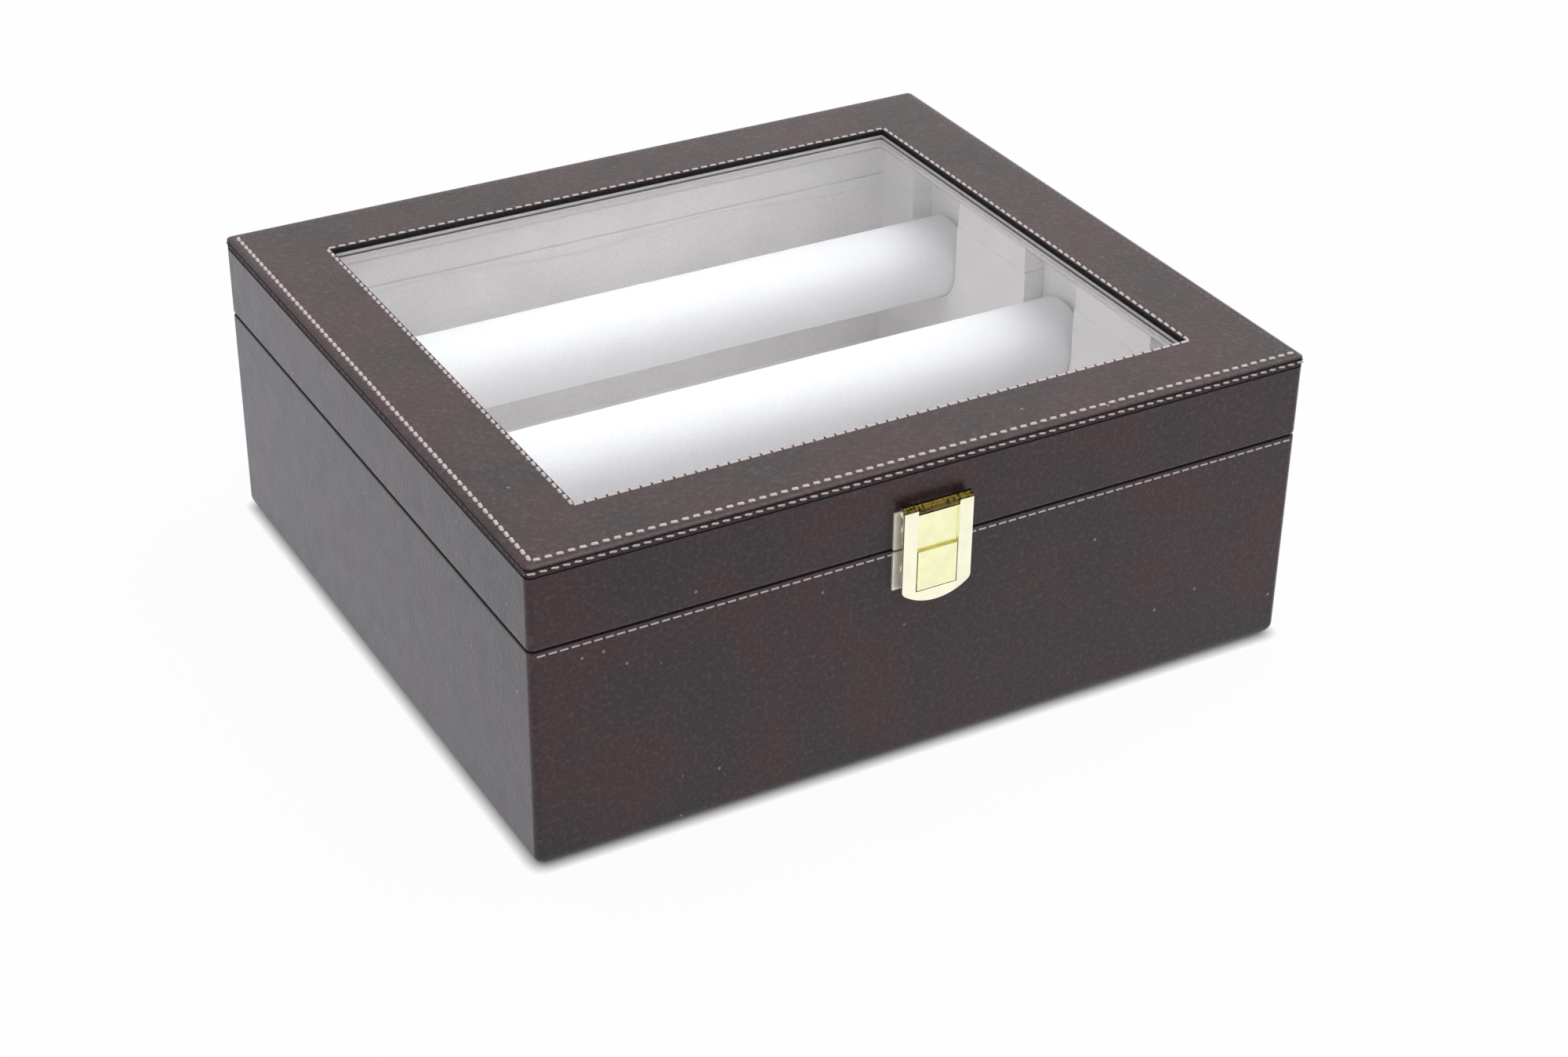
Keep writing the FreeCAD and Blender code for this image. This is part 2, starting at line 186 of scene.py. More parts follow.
def screen_colour(red, green, blue):
    """A colour given as it looks on a screen, for a shader."""
    parts = [value / 255 for value in (red, green, blue)]
    linear = [part / 12.92 if part <= 0.04045 else ((part + 0.055) / 1.055) ** 2.4
              for part in parts]
    return (*linear, 1)


def tinted(colour, share):
    """A colour made darker, or lighter where the share is over 1."""
    return tuple(value * share for value in colour)


def new_finish(name, roughness):
    """A material, its nodes, its links, its shader and coordinates that stay with the piece."""
    material = bpy.data.materials.new(name)
    material.use_nodes = True
    nodes = material.node_tree.nodes
    links = material.node_tree.links
    shader = nodes["Principled BSDF"]
    shader.inputs["Roughness"].default_value = roughness
    place = nodes.new("ShaderNodeTexCoord").outputs["Object"]
    return material, nodes, links, shader, place


def add_noise(nodes, links, place, size, detail=2.0):
    """Cloudy noise whose patches are about size across."""
    noise = nodes.new("ShaderNodeTexNoise")
    noise.inputs["Scale"].default_value = 1 / size
    noise.inputs["Detail"].default_value = detail
    links.new(place, noise.inputs["Vector"])
    return noise.outputs["Fac"]


def add_ramp(nodes, links, value, *stops):
    """Colours at stops along a value, each stop a position and a screen colour."""
    ramp = nodes.new("ShaderNodeValToRGB")
    while len(ramp.color_ramp.elements) < len(stops):
        ramp.color_ramp.elements.new(0.5)
    for element, (position, colour) in zip(ramp.color_ramp.elements, stops):
        element.position = position
        element.color = screen_colour(*colour)
    links.new(value, ramp.inputs["Fac"])
    return ramp.outputs["Color"]


def add_bump(nodes, links, shader, height, depth):
    """Raises and lowers the surface by depth where the height value changes."""
    bump = nodes.new("ShaderNodeBump")
    bump.inputs["Strength"].default_value = 1.0
    bump.inputs["Distance"].default_value = depth
    links.new(height, bump.inputs["Height"])
    links.new(bump.outputs["Normal"], shader.inputs["Normal"])


def fibreboard():
    material, nodes, links, shader, place = new_finish("fibreboard", 0.85)
    fibres = add_noise(nodes, links, place, board_fibre, 5)
    colour = add_ramp(nodes, links, fibres, (0.35, tinted(board_colour, 0.8)),
                      (0.65, board_colour))
    links.new(colour, shader.inputs["Base Color"])
    add_bump(nodes, links, shader, fibres, 0.05 * mm)
    return material


def dress(node_names, material):
    """Gives parts of the frame, as they are, a finish."""
    for name in node_names:
        frame["nodes"][name].material_slots[0].material = material


dress([part + "_" + wall + "_board" for part in ("base", "lid") for wall in walls], fibreboard())
dress(["base_bottom_board", "lid_top_board"], fibreboard())

# Base leather
# One sheet of dark brown leather cloth glued round the base. It is turned over the rim at the top
# and in under the bottom, and its lower edges are drawn round a larger curve.
leather_thickness = 1.0 * mm
turned_in_rim = 6.0 * mm
turned_under_foot = 10.0 * mm
foot_rounding = 4.5 * mm
corner_rounding = 2.0 * mm
rim_rounding = 0.8 * mm
rim_stitch_drop = 1.6 * mm
channel_half_width = 0.7 * mm
channel_depth = 0.25 * mm
edge_slack = 0.1 * mm
merge_reach = 0.002 * mm
leather_brown = (60, 29, 34)
leather_dark = (40, 33, 36)
leather_worn = (96, 80, 84)
leather_dust = (178, 170, 172)
leather_pore = (196, 190, 190)
leather_streak = (238, 238, 240)
white = (255, 255, 255)
cloud_size = 28 * mm
grain_size = 0.9 * mm
streak_width = 2.4 * mm
streak_stretch = 0.07
speckle_size = 1.6 * mm
speckle_relief = 1.5
polish_size = 9 * mm
dust_spacing = 13 * mm
dust_strength = 0.45
# Black paint that stands for shade: in the seam between base and lid, along the lid's fold line, in
# the crease and on the window's wall.
painted_shade_black = (22, 19, 20)
seam_shade_width = 0.45 * mm
wall_end_reach = 10 * mm


def clear_selection():
    if bpy.context.object and bpy.context.object.mode == "EDIT":
        bpy.ops.object.mode_set(mode="OBJECT")
    bpy.ops.object.select_all(action="DESELECT")


def pick(piece):
    """Selects one piece alone, in object mode."""
    clear_selection()
    piece.select_set(True)
    bpy.context.view_layer.objects.active = piece


def settle(piece):
    """Moves a piece's place, turn and size into its mesh."""
    pick(piece)
    bpy.ops.object.transform_apply(location=True, rotation=True, scale=True)


def add_block(name, low, high):
    """A cube brought to two opposite corners."""
    clear_selection()
    low, high = Vector(low), Vector(high)
    bpy.ops.mesh.primitive_cube_add(size=1, location=(low + high) / 2)
    piece = bpy.context.object
    piece.name = name
    piece.scale = high - low
    settle(piece)
    return piece


def choose(piece, kind, test):
    """Goes into edit mode with only the corners, edges or faces selected that pass a test."""
    if bpy.context.object is not piece or piece.mode != "EDIT":
        pick(piece)
        bpy.ops.object.mode_set(mode="EDIT")
    bpy.ops.mesh.select_mode(type=kind)
    bpy.ops.mesh.select_all(action="DESELECT")
    mesh = bmesh.from_edit_mesh(piece.data)
    mesh.normal_update()
    parts = {"VERT": mesh.verts, "EDGE": mesh.edges, "FACE": mesh.faces}[kind]
    for part in parts:
        if test(part):
            part.select_set(True)
    mesh.select_flush_mode()
    bmesh.update_edit_mesh(piece.data)


def choose_all(piece, kind="FACE"):
    choose(piece, kind, lambda part: True)


def near(value, target, reach=0.01 * mm):
    return abs(value - target) < reach


def centre(face):
    return face.calc_center_median()


def at_level(part, z):
    """True if every corner of an edge or a face lies at height z."""
    return all(near(vertex.co.z, z) for vertex in part.verts)


def on_walls(part, reach):
    """True if every corner of an edge or a face lies on walls that stand at x and y of reach."""
    return all(near(abs(vertex.co.x), reach.x) or near(abs(vertex.co.y), reach.y)
               for vertex in part.verts)


def past_walls(point, high):
    """How far a point lies outside the walls. Below zero it lies within them."""
    return max(abs(point.x) - high.x, abs(point.y) - high.y)


def up_a_corner(edge, high):
    """True for an edge that runs up one of the four outer corners, or round its ends."""
    level = near(edge.verts[0].co.z, edge.verts[1].co.z)
    inner = all(near(high.x - abs(vertex.co.x), leather_thickness) for vertex in edge.verts)
    return not level and not inner and all(
        near(high.x - abs(vertex.co.x), high.y - abs(vertex.co.y))
        and high.x - abs(vertex.co.x) < foot_rounding + edge_slack for vertex in edge.verts)


def bevel_chosen(width, segments):
    bpy.ops.mesh.bevel(offset=width, segments=segments, affect="EDGES")


def widen(start, end, z):
    """Brings the chosen level face or loop from one half width and half depth to another."""
    bpy.ops.transform.resize(value=(end[0] / start[0], end[1] / start[1], 1),
                             center_override=(0, 0, z))


def extrude_chosen(distance=0.0):
    bpy.ops.mesh.extrude_region_move(TRANSFORM_OT_translate={"value": (0, 0, distance)})


def join_open_ends(piece):
    """Joins the two open rings of a piece with a strip of faces."""
    choose(piece, "EDGE", lambda edge: edge.is_boundary)
    bpy.ops.mesh.bridge_edge_loops()


def round_rim(piece, z, high, width, segments):
    """Rounds the outer edges that lie at height z."""
    choose(piece, "EDGE", lambda edge: at_level(edge, z) and on_walls(edge, high))
    bevel_chosen(width, segments)


def round_corners(piece, high):
    choose(piece, "EDGE", lambda edge: up_a_corner(edge, high))
    bevel_chosen(corner_rounding, 5)


def close_up(piece):
    """Merges doubled corners and turns all faces outwards."""
    choose_all(piece)
    bpy.ops.mesh.remove_doubles(threshold=merge_reach)
    bpy.ops.mesh.normals_make_consistent(inside=False)


def smooth(piece, degrees=40):
    """Smooth shading that keeps sharp edges sharp and large faces flat up to their roundings."""
    pick(piece)
    bpy.ops.object.shade_smooth_by_angle(angle=math.radians(degrees))
    weighted = piece.modifiers.new("weighted_normals", "WEIGHTED_NORMAL")
    weighted.keep_sharp = True
    bpy.ops.object.modifier_apply(modifier=weighted.name)


def finish_piece(piece, body, material, slot, *nodes):
    """Dresses a new piece and says what it rides on and which parts of the frame it replaces."""
    clear_selection()
    piece.data.materials.clear()
    piece.data.materials.append(material)
    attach(piece, body)
    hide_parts(*nodes)


def add_wrap(name, low, high, turned_low, turned_high):
    """A band of leather round four walls. Each end is turned in by some width, or ends with its
    own thickness."""
    band = add_block(name, low, high)
    inner = (high.x - leather_thickness, high.y - leather_thickness)
    for z, turned, inwards in ((low.z, turned_low, 1), (high.z, turned_high, -1)):
        choose(band, "FACE", lambda face: at_level(face, z))
        bpy.ops.mesh.inset(thickness=turned)
        if turned > leather_thickness:
            extrude_chosen(inwards * leather_thickness)
            extrude_chosen()
            widen((high.x - turned, high.y - turned), inner, z)
        bpy.ops.mesh.delete(type="FACE")
    join_open_ends(band)
    return band


def add_range(nodes, links, value, low, high, start=0.0, end=1.0):
    """A value between start and end brought between low and high."""
    scaled = nodes.new("ShaderNodeMapRange")
    scaled.inputs["From Min"].default_value = start
    scaled.inputs["From Max"].default_value = end
    scaled.inputs["To Min"].default_value = low
    scaled.inputs["To Max"].default_value = high
    links.new(value, scaled.inputs["Value"])
    return scaled.outputs["Result"]


def add_mix(nodes, links, blend, share, first, second):
    """Two colours blended, with a share that is a number or comes from a node."""
    mix = nodes.new("ShaderNodeMix")
    mix.data_type = "RGBA"
    mix.blend_type = blend
    if isinstance(share, float):
        mix.inputs["Factor"].default_value = share
    else:
        links.new(share, mix.inputs["Factor"])
    for colour, name in ((first, "A"), (second, "B")):
        if isinstance(colour, tuple):
            mix.inputs[name].default_value = colour
        else:
            links.new(colour, mix.inputs[name])
    return mix.outputs["Result"]


def leather(name, dark, brown, sheen, bloom, relief):
    """Mottled leather cloth with fine grain, drawn streaks, rubbed spots and specks of dust."""
    material, nodes, links, shader, place = new_finish(name, 0.45)
    shader.inputs["Specular IOR Level"].default_value = 0.42
    shader.inputs["Sheen Weight"].default_value = sheen
    shader.inputs["Sheen Roughness"].default_value = 0.35
    shader.inputs["Sheen Tint"].default_value = (*bloom, 1)
    clouds = add_noise(nodes, links, place, cloud_size, 3)
    mottled = add_ramp(nodes, links, clouds, (0.38, dark), (0.6, brown))
    grain = nodes.new("ShaderNodeTexVoronoi")
    grain.inputs["Scale"].default_value = 1 / grain_size
    links.new(place, grain.inputs["Vector"])
    pores = add_ramp(nodes, links, grain.outputs["Distance"], (0.2, white), (0.8, leather_pore))
    drawn = nodes.new("ShaderNodeMapping")
    drawn.inputs["Scale"].default_value = (1, 1, streak_stretch)
    links.new(place, drawn.inputs["Vector"])
    streaks = add_noise(nodes, links, drawn.outputs["Vector"], streak_width, 3)
    streaked = add_mix(nodes, links, "MULTIPLY", 1.0, mottled,
                       add_ramp(nodes, links, streaks, (0.35, leather_streak), (0.65, white)))
    grained = add_mix(nodes, links, "MULTIPLY", 1.0, streaked, pores)
    speckle = add_noise(nodes, links, place, speckle_size, 5)
    rubbed = add_range(nodes, links, speckle, 0.0, 1.0, start=0.5, end=1.1)
    coloured = add_mix(nodes, links, "MIX", rubbed, grained, screen_colour(*leather_worn))
    specks = nodes.new("ShaderNodeTexVoronoi")
    specks.inputs["Scale"].default_value = 1 / dust_spacing
    links.new(place, specks.inputs["Vector"])
    dusty = add_range(nodes, links, specks.outputs["Distance"], 0.0, dust_strength,
                      start=0.05, end=0.03)
    links.new(add_mix(nodes, links, "MIX", dusty, coloured, screen_colour(*leather_dust)),
              shader.inputs["Base Color"])
    creases = nodes.new("ShaderNodeMath")
    creases.operation = "MULTIPLY_ADD"
    links.new(speckle, creases.inputs[0])
    creases.inputs[1].default_value = speckle_relief
    links.new(grain.outputs["Distance"], creases.inputs[2])
    add_bump(nodes, links, shader, creases.outputs[0], relief)
    polish = add_noise(nodes, links, place, polish_size, 3)
    links.new(add_range(nodes, links, polish, 0.26, 0.42), shader.inputs["Roughness"])
    return material


def painted_light_paint(name, colour, unevenness=1.6):
    """Brushed, uneven paint used for painted light: dark for painted shade, pale for a painted
    highlight.
    """
    material, nodes, links, shader, place = new_finish(name, 0.7)
    wear = add_noise(nodes, links, place, 2 * mm, 4)
    links.new(add_ramp(nodes, links, wear, (0.4, colour), (0.8, tinted(colour, unevenness))),
              shader.inputs["Base Color"])
    shader.inputs["Specular IOR Level"].default_value = 0.15
    add_bump(nodes, links, shader, wear, 0.05 * mm)
    return material


def paint_faces(piece, paint, test):
    """Gives the faces that pass a test a paint of their own."""
    piece.data.materials.append(paint)
    choose(piece, "FACE", test)
    piece.active_material_index = len(piece.data.materials) - 1
    bpy.ops.object.material_slot_assign()
    clear_selection()


def in_seam(face, seam_z):
    """True for the part of a rim's rounding that is nearest to where the base and the lid meet."""
    return past_walls(centre(face), base_high) > -rim_rounding \
        and near(centre(face).z, seam_z, seam_shade_width)


def by_the_rim(face):
    """True for the tall faces of the base's walls and for all that lies in its upper half."""
    heights = [vertex.co.z for vertex in face.verts]
    tall = min(heights) < base_low.z + wall_end_reach \
        and max(heights) > base_high.z - wall_end_reach
    return tall or centre(face).z > base_high.z / 2


painted_shade_finish = painted_light_paint("painted_light_paint", painted_shade_black)
leather_finish = leather("brown_leather", leather_dark, leather_brown, sheen=0.44,
                         bloom=(0.78, 0.82, 1.0), relief=0.05 * mm)
base_low, base_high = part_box("base_leather_wrap")
base_inner = Vector((base_high.x - leather_thickness, base_high.y - leather_thickness))
base_leather = add_wrap("base_leather", base_low, base_high, turned_under_foot, turned_in_rim)
# The lower edges are rounded inside and outside, then the rim and the corners.
choose(base_leather, "EDGE", lambda edge: at_level(edge, base_low.z + leather_thickness)
       and on_walls(edge, base_inner))
bevel_chosen(foot_rounding - leather_thickness, 6)
round_rim(base_leather, base_low.z, base_high, foot_rounding, 8)
round_rim(base_leather, base_high.z, base_high, rim_rounding, 3)
round_corners(base_leather, base_high)
# A shallow channel for the stitches of the front.
rim_stitch_z = base_high.z - rim_stitch_drop
for level in (-channel_half_width, 0, channel_half_width):
    choose(base_leather, "FACE", by_the_rim)
    bpy.ops.mesh.bisect(plane_co=(0, 0, rim_stitch_z + level), plane_no=(0, 0, 1))
choose(base_leather, "VERT", lambda vertex: near(vertex.co.z, rim_stitch_z)
       and near(vertex.co.y, base_low.y))
bpy.ops.transform.translate(value=(0, channel_depth, 0))
close_up(base_leather)
smooth(base_leather)
finish_piece(base_leather, "base", leather_finish, "leather", "base_leather_wrap")
# Painted shade: the rim's rounding next to the seam is painted black.
paint_faces(base_leather, painted_shade_finish, lambda face: in_seam(face, base_high.z))

# Bottom cover
# A sheet of black flocked paper glued over the leather's turned-under edges, so that the box does
# not scratch a table.
paper_black = (38, 36, 37)
flock_size = 0.8 * mm


def flocked_paper():
    material, nodes, links, shader, place = new_finish("flocked_paper", 0.95)
    fluff = add_noise(nodes, links, place, flock_size, 6)
    links.new(add_ramp(nodes, links, fluff, (0.4, paper_black), (0.7, tinted(paper_black, 1.5))),
              shader.inputs["Base Color"])
    shader.inputs["Sheen Weight"].default_value = 0.3
    add_bump(nodes, links, shader, fluff, 0.15 * mm)
    return material


dress(["base_bottom_cover"], flocked_paper())

# Velvet linings
# Thin card panels covered with off-white velvet, glued to the floor and to the walls of the base
# and of the lid. Their edges are soft, and the upper edge at the back has crept into waves.
velvet_white = (250, 246, 246)
velvet_shade = (240, 236, 236)
velvet_tuft = (240, 240, 240)
velvet_nap = 0.6 * mm
velvet_stroke = 26 * mm
panel_rounding = 0.12 * mm
panel_parting = 0.02 * mm
ledge_columns = 48
ledge_rows = 14
ledge_row_height = 0.6 * mm
ledge_wave = 110 * mm
ledge_wave_start = 20 * mm
ledge_swing = 1.7 * mm
ledge_middle = 73.6 * mm
ledge_depth = 0.9 * mm
ledge_fold = 1.6 * mm
ledge_end = 6 * mm


def add_sheen(shader, weight):
    """The soft bloom of velvet, with hardly any gloss."""
    shader.inputs["Sheen Weight"].default_value = weight
    shader.inputs["Sheen Roughness"].default_value = 0.5
    shader.inputs["Specular IOR Level"].default_value = 0.2


def velvet():
    material, nodes, links, shader, place = new_finish("white_velvet", 0.9)
    nap = add_noise(nodes, links, place, velvet_nap, 6)
    stroked = add_noise(nodes, links, place, velvet_stroke, 3)
    strokes = add_ramp(nodes, links, stroked, (0.35, velvet_shade), (0.65, velvet_white))
    tufts = add_ramp(nodes, links, nap, (0.3, velvet_tuft), (0.6, white))
    links.new(add_mix(nodes, links, "MULTIPLY", 1.0, strokes, tufts), shader.inputs["Base Color"])
    add_sheen(shader, 0.25)
    add_bump(nodes, links, shader, nap, 0.12 * mm)
    return material


def soft_copy(node, name, width, segments=3, sharp=35):
    """A copy of a part of the frame as one skin, with its sharp edges rounded."""
    piece = frame["nodes"][node].copy()
    piece.data = piece.data.copy()
    piece.name = name
    piece.parent = None
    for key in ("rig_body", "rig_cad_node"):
        del piece[key]
    bpy.context.scene.collection.objects.link(piece)
    pick(piece)
    bpy.ops.mesh.customdata_custom_splitnormals_clear()
    choose_all(piece)
    bpy.ops.mesh.remove_doubles(threshold=merge_reach)
    bpy.ops.mesh.dissolve_limited(angle_limit=math.radians(0.5))
    choose(piece, "EDGE", lambda edge: edge.is_manifold
           and edge.calc_face_angle() > math.radians(sharp))
    bevel_chosen(width, segments)
    smooth(piece)
    return piece


def add_panel(name, low, high):
    """A velvet panel with rounded edges."""
    panel = add_block(name, low, high)
    choose_all(panel, "EDGE")
    bevel_chosen(panel_rounding, 3)
    return panel


def slice_up(piece, low_x, high_x, count):
    """Cuts a piece into equal slices along X."""
    for number in range(1, count):
        choose_all(piece)
        cut_x = low_x + (high_x - low_x) * number / count
        bpy.ops.mesh.bisect(plane_co=(cut_x, 0, 0), plane_no=(1, 0, 0))


def ledge_height(x):
    turns = (x - ledge_wave_start) / ledge_wave
    return ledge_middle + ledge_swing * math.sin(2 * math.pi * turns)


def add_ledge(panel, low, high):
    """Puffs the velvet out above a wavy line, as where it was folded over the card."""
    slice_up(panel, low.x, high.x, ledge_columns)
    for row in range(1, ledge_rows):
        choose_all(panel)
        bpy.ops.mesh.bisect(plane_co=(0, 0, high.z - ledge_row_height * row), plane_no=(0, 0, 1))
    clear_selection()
    for vertex in panel.data.vertices:
        if vertex.co.y < (low.y + high.y) / 2:
            above = (vertex.co.z - ledge_height(vertex.co.x)) / ledge_fold
            rise = min(1, max(0, above + 0.5))
            ends = min(1, (high.x - abs(vertex.co.x)) / ledge_end)
            vertex.co.y -= ledge_depth * ends * rise * rise * (3 - 2 * rise)


velvet_finish = velvet()
for part in ("base", "lid"):
    for wall in walls:
        node = part + "_" + wall + "_lining"
        low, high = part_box(node)
        if part == "base":
            high.z = base_high.z - panel_parting
        else:
            low.z = base_high.z + panel_parting
        panel = add_panel(part + "_" + wall + "_velvet", low, high)
        if node == "base_back_lining":
            add_ledge(panel, low, high)
        smooth(panel)
        finish_piece(panel, part, velvet_finish, "lining", node)
finish_piece(soft_copy("base_floor_lining", "floor_velvet", panel_rounding), "base",
             velvet_finish, "lining", "base_floor_lining")

# Cradles
# Two upright boards stand at the left and right walls, with three round notches each that the
# rolls drop into. Four small blocks in the lid close over each, and all are covered with velvet.
cradle_rounding = 0.15 * mm
cradle_gap = 0.04 * mm


def lift(distance):
    bpy.ops.transform.translate(value=(0, 0, distance))


def add_cradle_part(node, name, body, end_z, meeting_z):
    """A velvet-covered part whose end is brought to where the base and the lid meet."""
    piece = soft_copy(node, name, cradle_rounding)
    choose(piece, "VERT", lambda vertex: near(vertex.co.z, end_z, 1.5 * cradle_rounding))
    lift(meeting_z - end_z)
    finish_piece(piece, body, velvet_finish, "lining", node)


for side in ("left", "right"):
    cradle = side + "_roll_cradle"
    add_cradle_part(cradle, side + "_cradle", "base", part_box(cradle)[1].z,
                    base_high.z - cradle_gap / 2)
    blocks = "lid_" + side + "_end_blocks"
    add_cradle_part(blocks, "lid_" + side + "_blocks", "lid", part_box(blocks)[0].z,
                    base_high.z + cradle_gap / 2)

# Rolls
# Three card tubes padded with foam and covered with white velvet, which is sewn along one side and
# tucked in over a plug at both ends. Bangles are pushed over a roll when it is lifted out.
roll_names = ("front", "middle", "back")
roll_end_rounding = 3.0 * mm
roll_tuck = 0.6 * mm
roll_tuck_radius = 8.0 * mm
roll_sides = 64
roll_slices = 30
roll_seam_depth = 0.5 * mm
roll_seam_reach = 0.03 * mm
roll_dent_size = 30 * mm
roll_dent_depth = 0.5 * mm
roll_white = (241, 241, 245)
roll_shade = (231, 231, 235)
short_nap = 0.5 * mm
tube_radius = 12.5 * mm


def roll_velvet():
    material, nodes, links, shader, place = new_finish("roll_velvet", 0.85)
    nap = add_noise(nodes, links, place, short_nap, 6)
    links.new(add_ramp(nodes, links, nap, (0.3, roll_shade), (0.6, roll_white)),
              shader.inputs["Base Color"])
    add_sheen(shader, 0.3)
    add_bump(nodes, links, shader, nap, 0.1 * mm)
    return material


def add_roll(name, low, high):
    """A padded tube with tucked-in ends and a sewn seam underneath."""
    axis_y, axis_z = (low.y + high.y) / 2, (low.z + high.z) / 2
    radius = (high.z - low.z) / 2
    clear_selection()
    bpy.ops.mesh.primitive_cylinder_add(vertices=roll_sides, radius=radius, depth=high.x - low.x,
                                        location=(0, axis_y, axis_z),
                                        rotation=(0, math.radians(90), 0))
    roll = bpy.context.object
    roll.name = name
    settle(roll)

    def on_end_rim(vertex, end):
        from_axis = math.hypot(vertex.co.y - axis_y, vertex.co.z - axis_z)
        return near(vertex.co.x, end) and near(from_axis, radius)

    for end in (low.x, high.x):
        inwards = roll_tuck if end < 0 else -roll_tuck
        choose(roll, "FACE", lambda face: all(near(vertex.co.x, end) for vertex in face.verts))
        bpy.ops.mesh.inset(thickness=radius - roll_tuck_radius)
        bpy.ops.mesh.extrude_region_move(TRANSFORM_OT_translate={"value": (inwards, 0, 0)})
        extrude_chosen()
        wider = tube_radius / roll_tuck_radius
        bpy.ops.transform.resize(value=(1, wider, wider),
                                 center_override=(end + inwards, axis_y, axis_z))
        bpy.ops.mesh.delete(type="FACE")
        choose(roll, "EDGE", lambda edge: all(on_end_rim(vertex, end) for vertex in edge.verts))
        bevel_chosen(roll_end_rounding, 6)
    join_open_ends(roll)
    slice_up(roll, low.x, high.x, roll_slices)
    choose(roll, "VERT", lambda vertex: near(vertex.co.z, low.z, roll_seam_reach))
    lift(roll_seam_depth)
    close_up(roll)
    pick(roll)
    dents = bpy.data.textures.new(name + "_dents", "CLOUDS")
    dents.noise_scale = roll_dent_size
    softness = roll.modifiers.new("softness", "DISPLACE")
    softness.texture = dents
    softness.texture_coords = "LOCAL"
    softness.strength = roll_dent_depth
    softness.mid_level = 1.0
    bpy.ops.object.modifier_apply(modifier=softness.name)
    smooth(roll)
    return roll


roll_velvet_finish = roll_velvet()
for name in roll_names:
    roll = add_roll(name + "_velvet_roll", *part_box(name + "_roll_cover"))
    finish_piece(roll, name + "_roll", roll_velvet_finish, "velvet",
                 name + "_roll_cover", name + "_roll_padding")

# Roll tubes and plugs
# Each roll is wound on a grey card tube. A round plug covered with the same velvet is pressed into
# each end of it.
card_grey = (150, 144, 136)
card_fibre = 1.5 * mm


def card():
    material, nodes, links, shader, place = new_finish("grey_card", 0.8)
    fibres = add_noise(nodes, links, place, card_fibre, 6)
    links.new(add_ramp(nodes, links, fibres, (0.35, card_grey), (0.65, tinted(card_grey, 1.12))),
              shader.inputs["Base Color"])
    add_bump(nodes, links, shader, fibres, 0.04 * mm)
    return material


dress([name + "_roll_core" for name in roll_names], card())
dress([name + "_roll_end_plugs" for name in roll_names], roll_velvet_finish)

# Lid side leather
# A band of the same leather round the walls of the lid, turned in over the rim that meets the
# base. Near its upper edge it is folded along a groove that is painted black, and the band above it
# is painted darker brown: both are painted shade. It butts against the top's leather.
cut_rounding = 0.1 * mm
lid_rim_rounding = 1.3 * mm
band_shade_brown = (54, 46, 48)
fold_line_drop = 1.25 * mm
fold_line_width = 0.6 * mm
fold_line_depth = 0.3 * mm
tall_edge = 20 * mm
outer_skin = 0.9 * leather_thickness
side_low, side_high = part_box("lid_side_leather")
side_outer = (side_high.x, side_high.y)
fold_line_z = side_high.z - fold_line_drop


def up_the_wall(edge):
    """True for an edge that runs up the whole outer side of the lid's walls."""
    outside = all(past_walls(vertex.co, side_high) > -outer_skin for vertex in edge.verts)
    return outside and abs(edge.verts[0].co.z - edge.verts[1].co.z) > tall_edge


side_leather = add_wrap("lid_side_band", side_low, side_high, turned_in_rim, leather_thickness)
round_rim(side_leather, side_low.z, side_high, lid_rim_rounding, 5)
round_rim(side_leather, side_high.z, side_high, cut_rounding, 2)
round_corners(side_leather, side_high)
choose(side_leather, "EDGE", up_the_wall)
bpy.ops.mesh.subdivide(number_cuts=3)
wall_start, wall_end = side_low.z + lid_rim_rounding, side_high.z - cut_rounding
# The three rows of points are moved to just above the fold, to its bottom and to just below it.
for row, shift in ((3, 0.5), (2, 0.0), (1, -0.5)):
    row_z = wall_start + row / 4 * (wall_end - wall_start)
    choose(side_leather, "VERT", lambda vertex: near(vertex.co.z, row_z))
    lift(fold_line_z + shift * fold_line_width - row_z)
choose(side_leather, "VERT", lambda vertex: near(vertex.co.z, fold_line_z))
widen(side_outer, [half - fold_line_depth for half in side_outer], fold_line_z)
close_up(side_leather)
smooth(side_leather)
finish_piece(side_leather, "lid", leather_finish, "leather", "lid_side_leather")
# Painted shade: the lid's rim rounding at the seam and the fold line are painted black.
paint_faces(side_leather, painted_shade_finish, lambda face: in_seam(face, side_low.z)
            or near(centre(face).z, fold_line_z, fold_line_width / 2))
# Painted shade: above the fold line the band is painted a darker brown.
band_shade_paint = painted_light_paint("band_painted_shade", band_shade_brown)
paint_faces(side_leather, band_shade_paint,
            lambda face: centre(face).z > fold_line_z + fold_line_width / 2)

# Top leather
# A separate sheet over the top of the lid. It is padded at the outer edges, creased where they
# turn down, and turned into the window, down to the glass. A furrow holds the window's stitches.
shoulder_width = 2.6 * mm
shoulder_rise = 0.88 * mm
shoulder_steps = (0.08 * mm, 0.35 * mm, 0.9 * mm, corner_rounding - 0.05 * mm)
crease_depth = 0.35 * mm
crease_height = 0.47 * mm
top_cut_rounding = 0.1 * mm
cut_bulge = 0.29 * top_cut_rounding
window_rounding = 0.8 * mm
window_stitch_in = 1.35 * mm
top_dark = (43, 30, 31)
top_brown = (60, 32, 34)
window_highlight_depth = 1.1 * mm
window_painted_highlight = (200, 197, 199)
window_lip = 1.0 * mm
top_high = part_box("lid_top_leather")[1]
glass_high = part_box("glass_pane")[1]
window = (107.0 * mm, 93.4 * mm)
window_out = (window[0] + window_lip, window[1] + window_lip)
window_seam = (window[0] + window_stitch_in, window[1] + window_stitch_in)
window_furrow = [half + channel_half_width for half in window_seam]
outer = (top_high.x, top_high.y)
cut_z = side_high.z + top_cut_rounding
under_z = top_high.z - leather_thickness
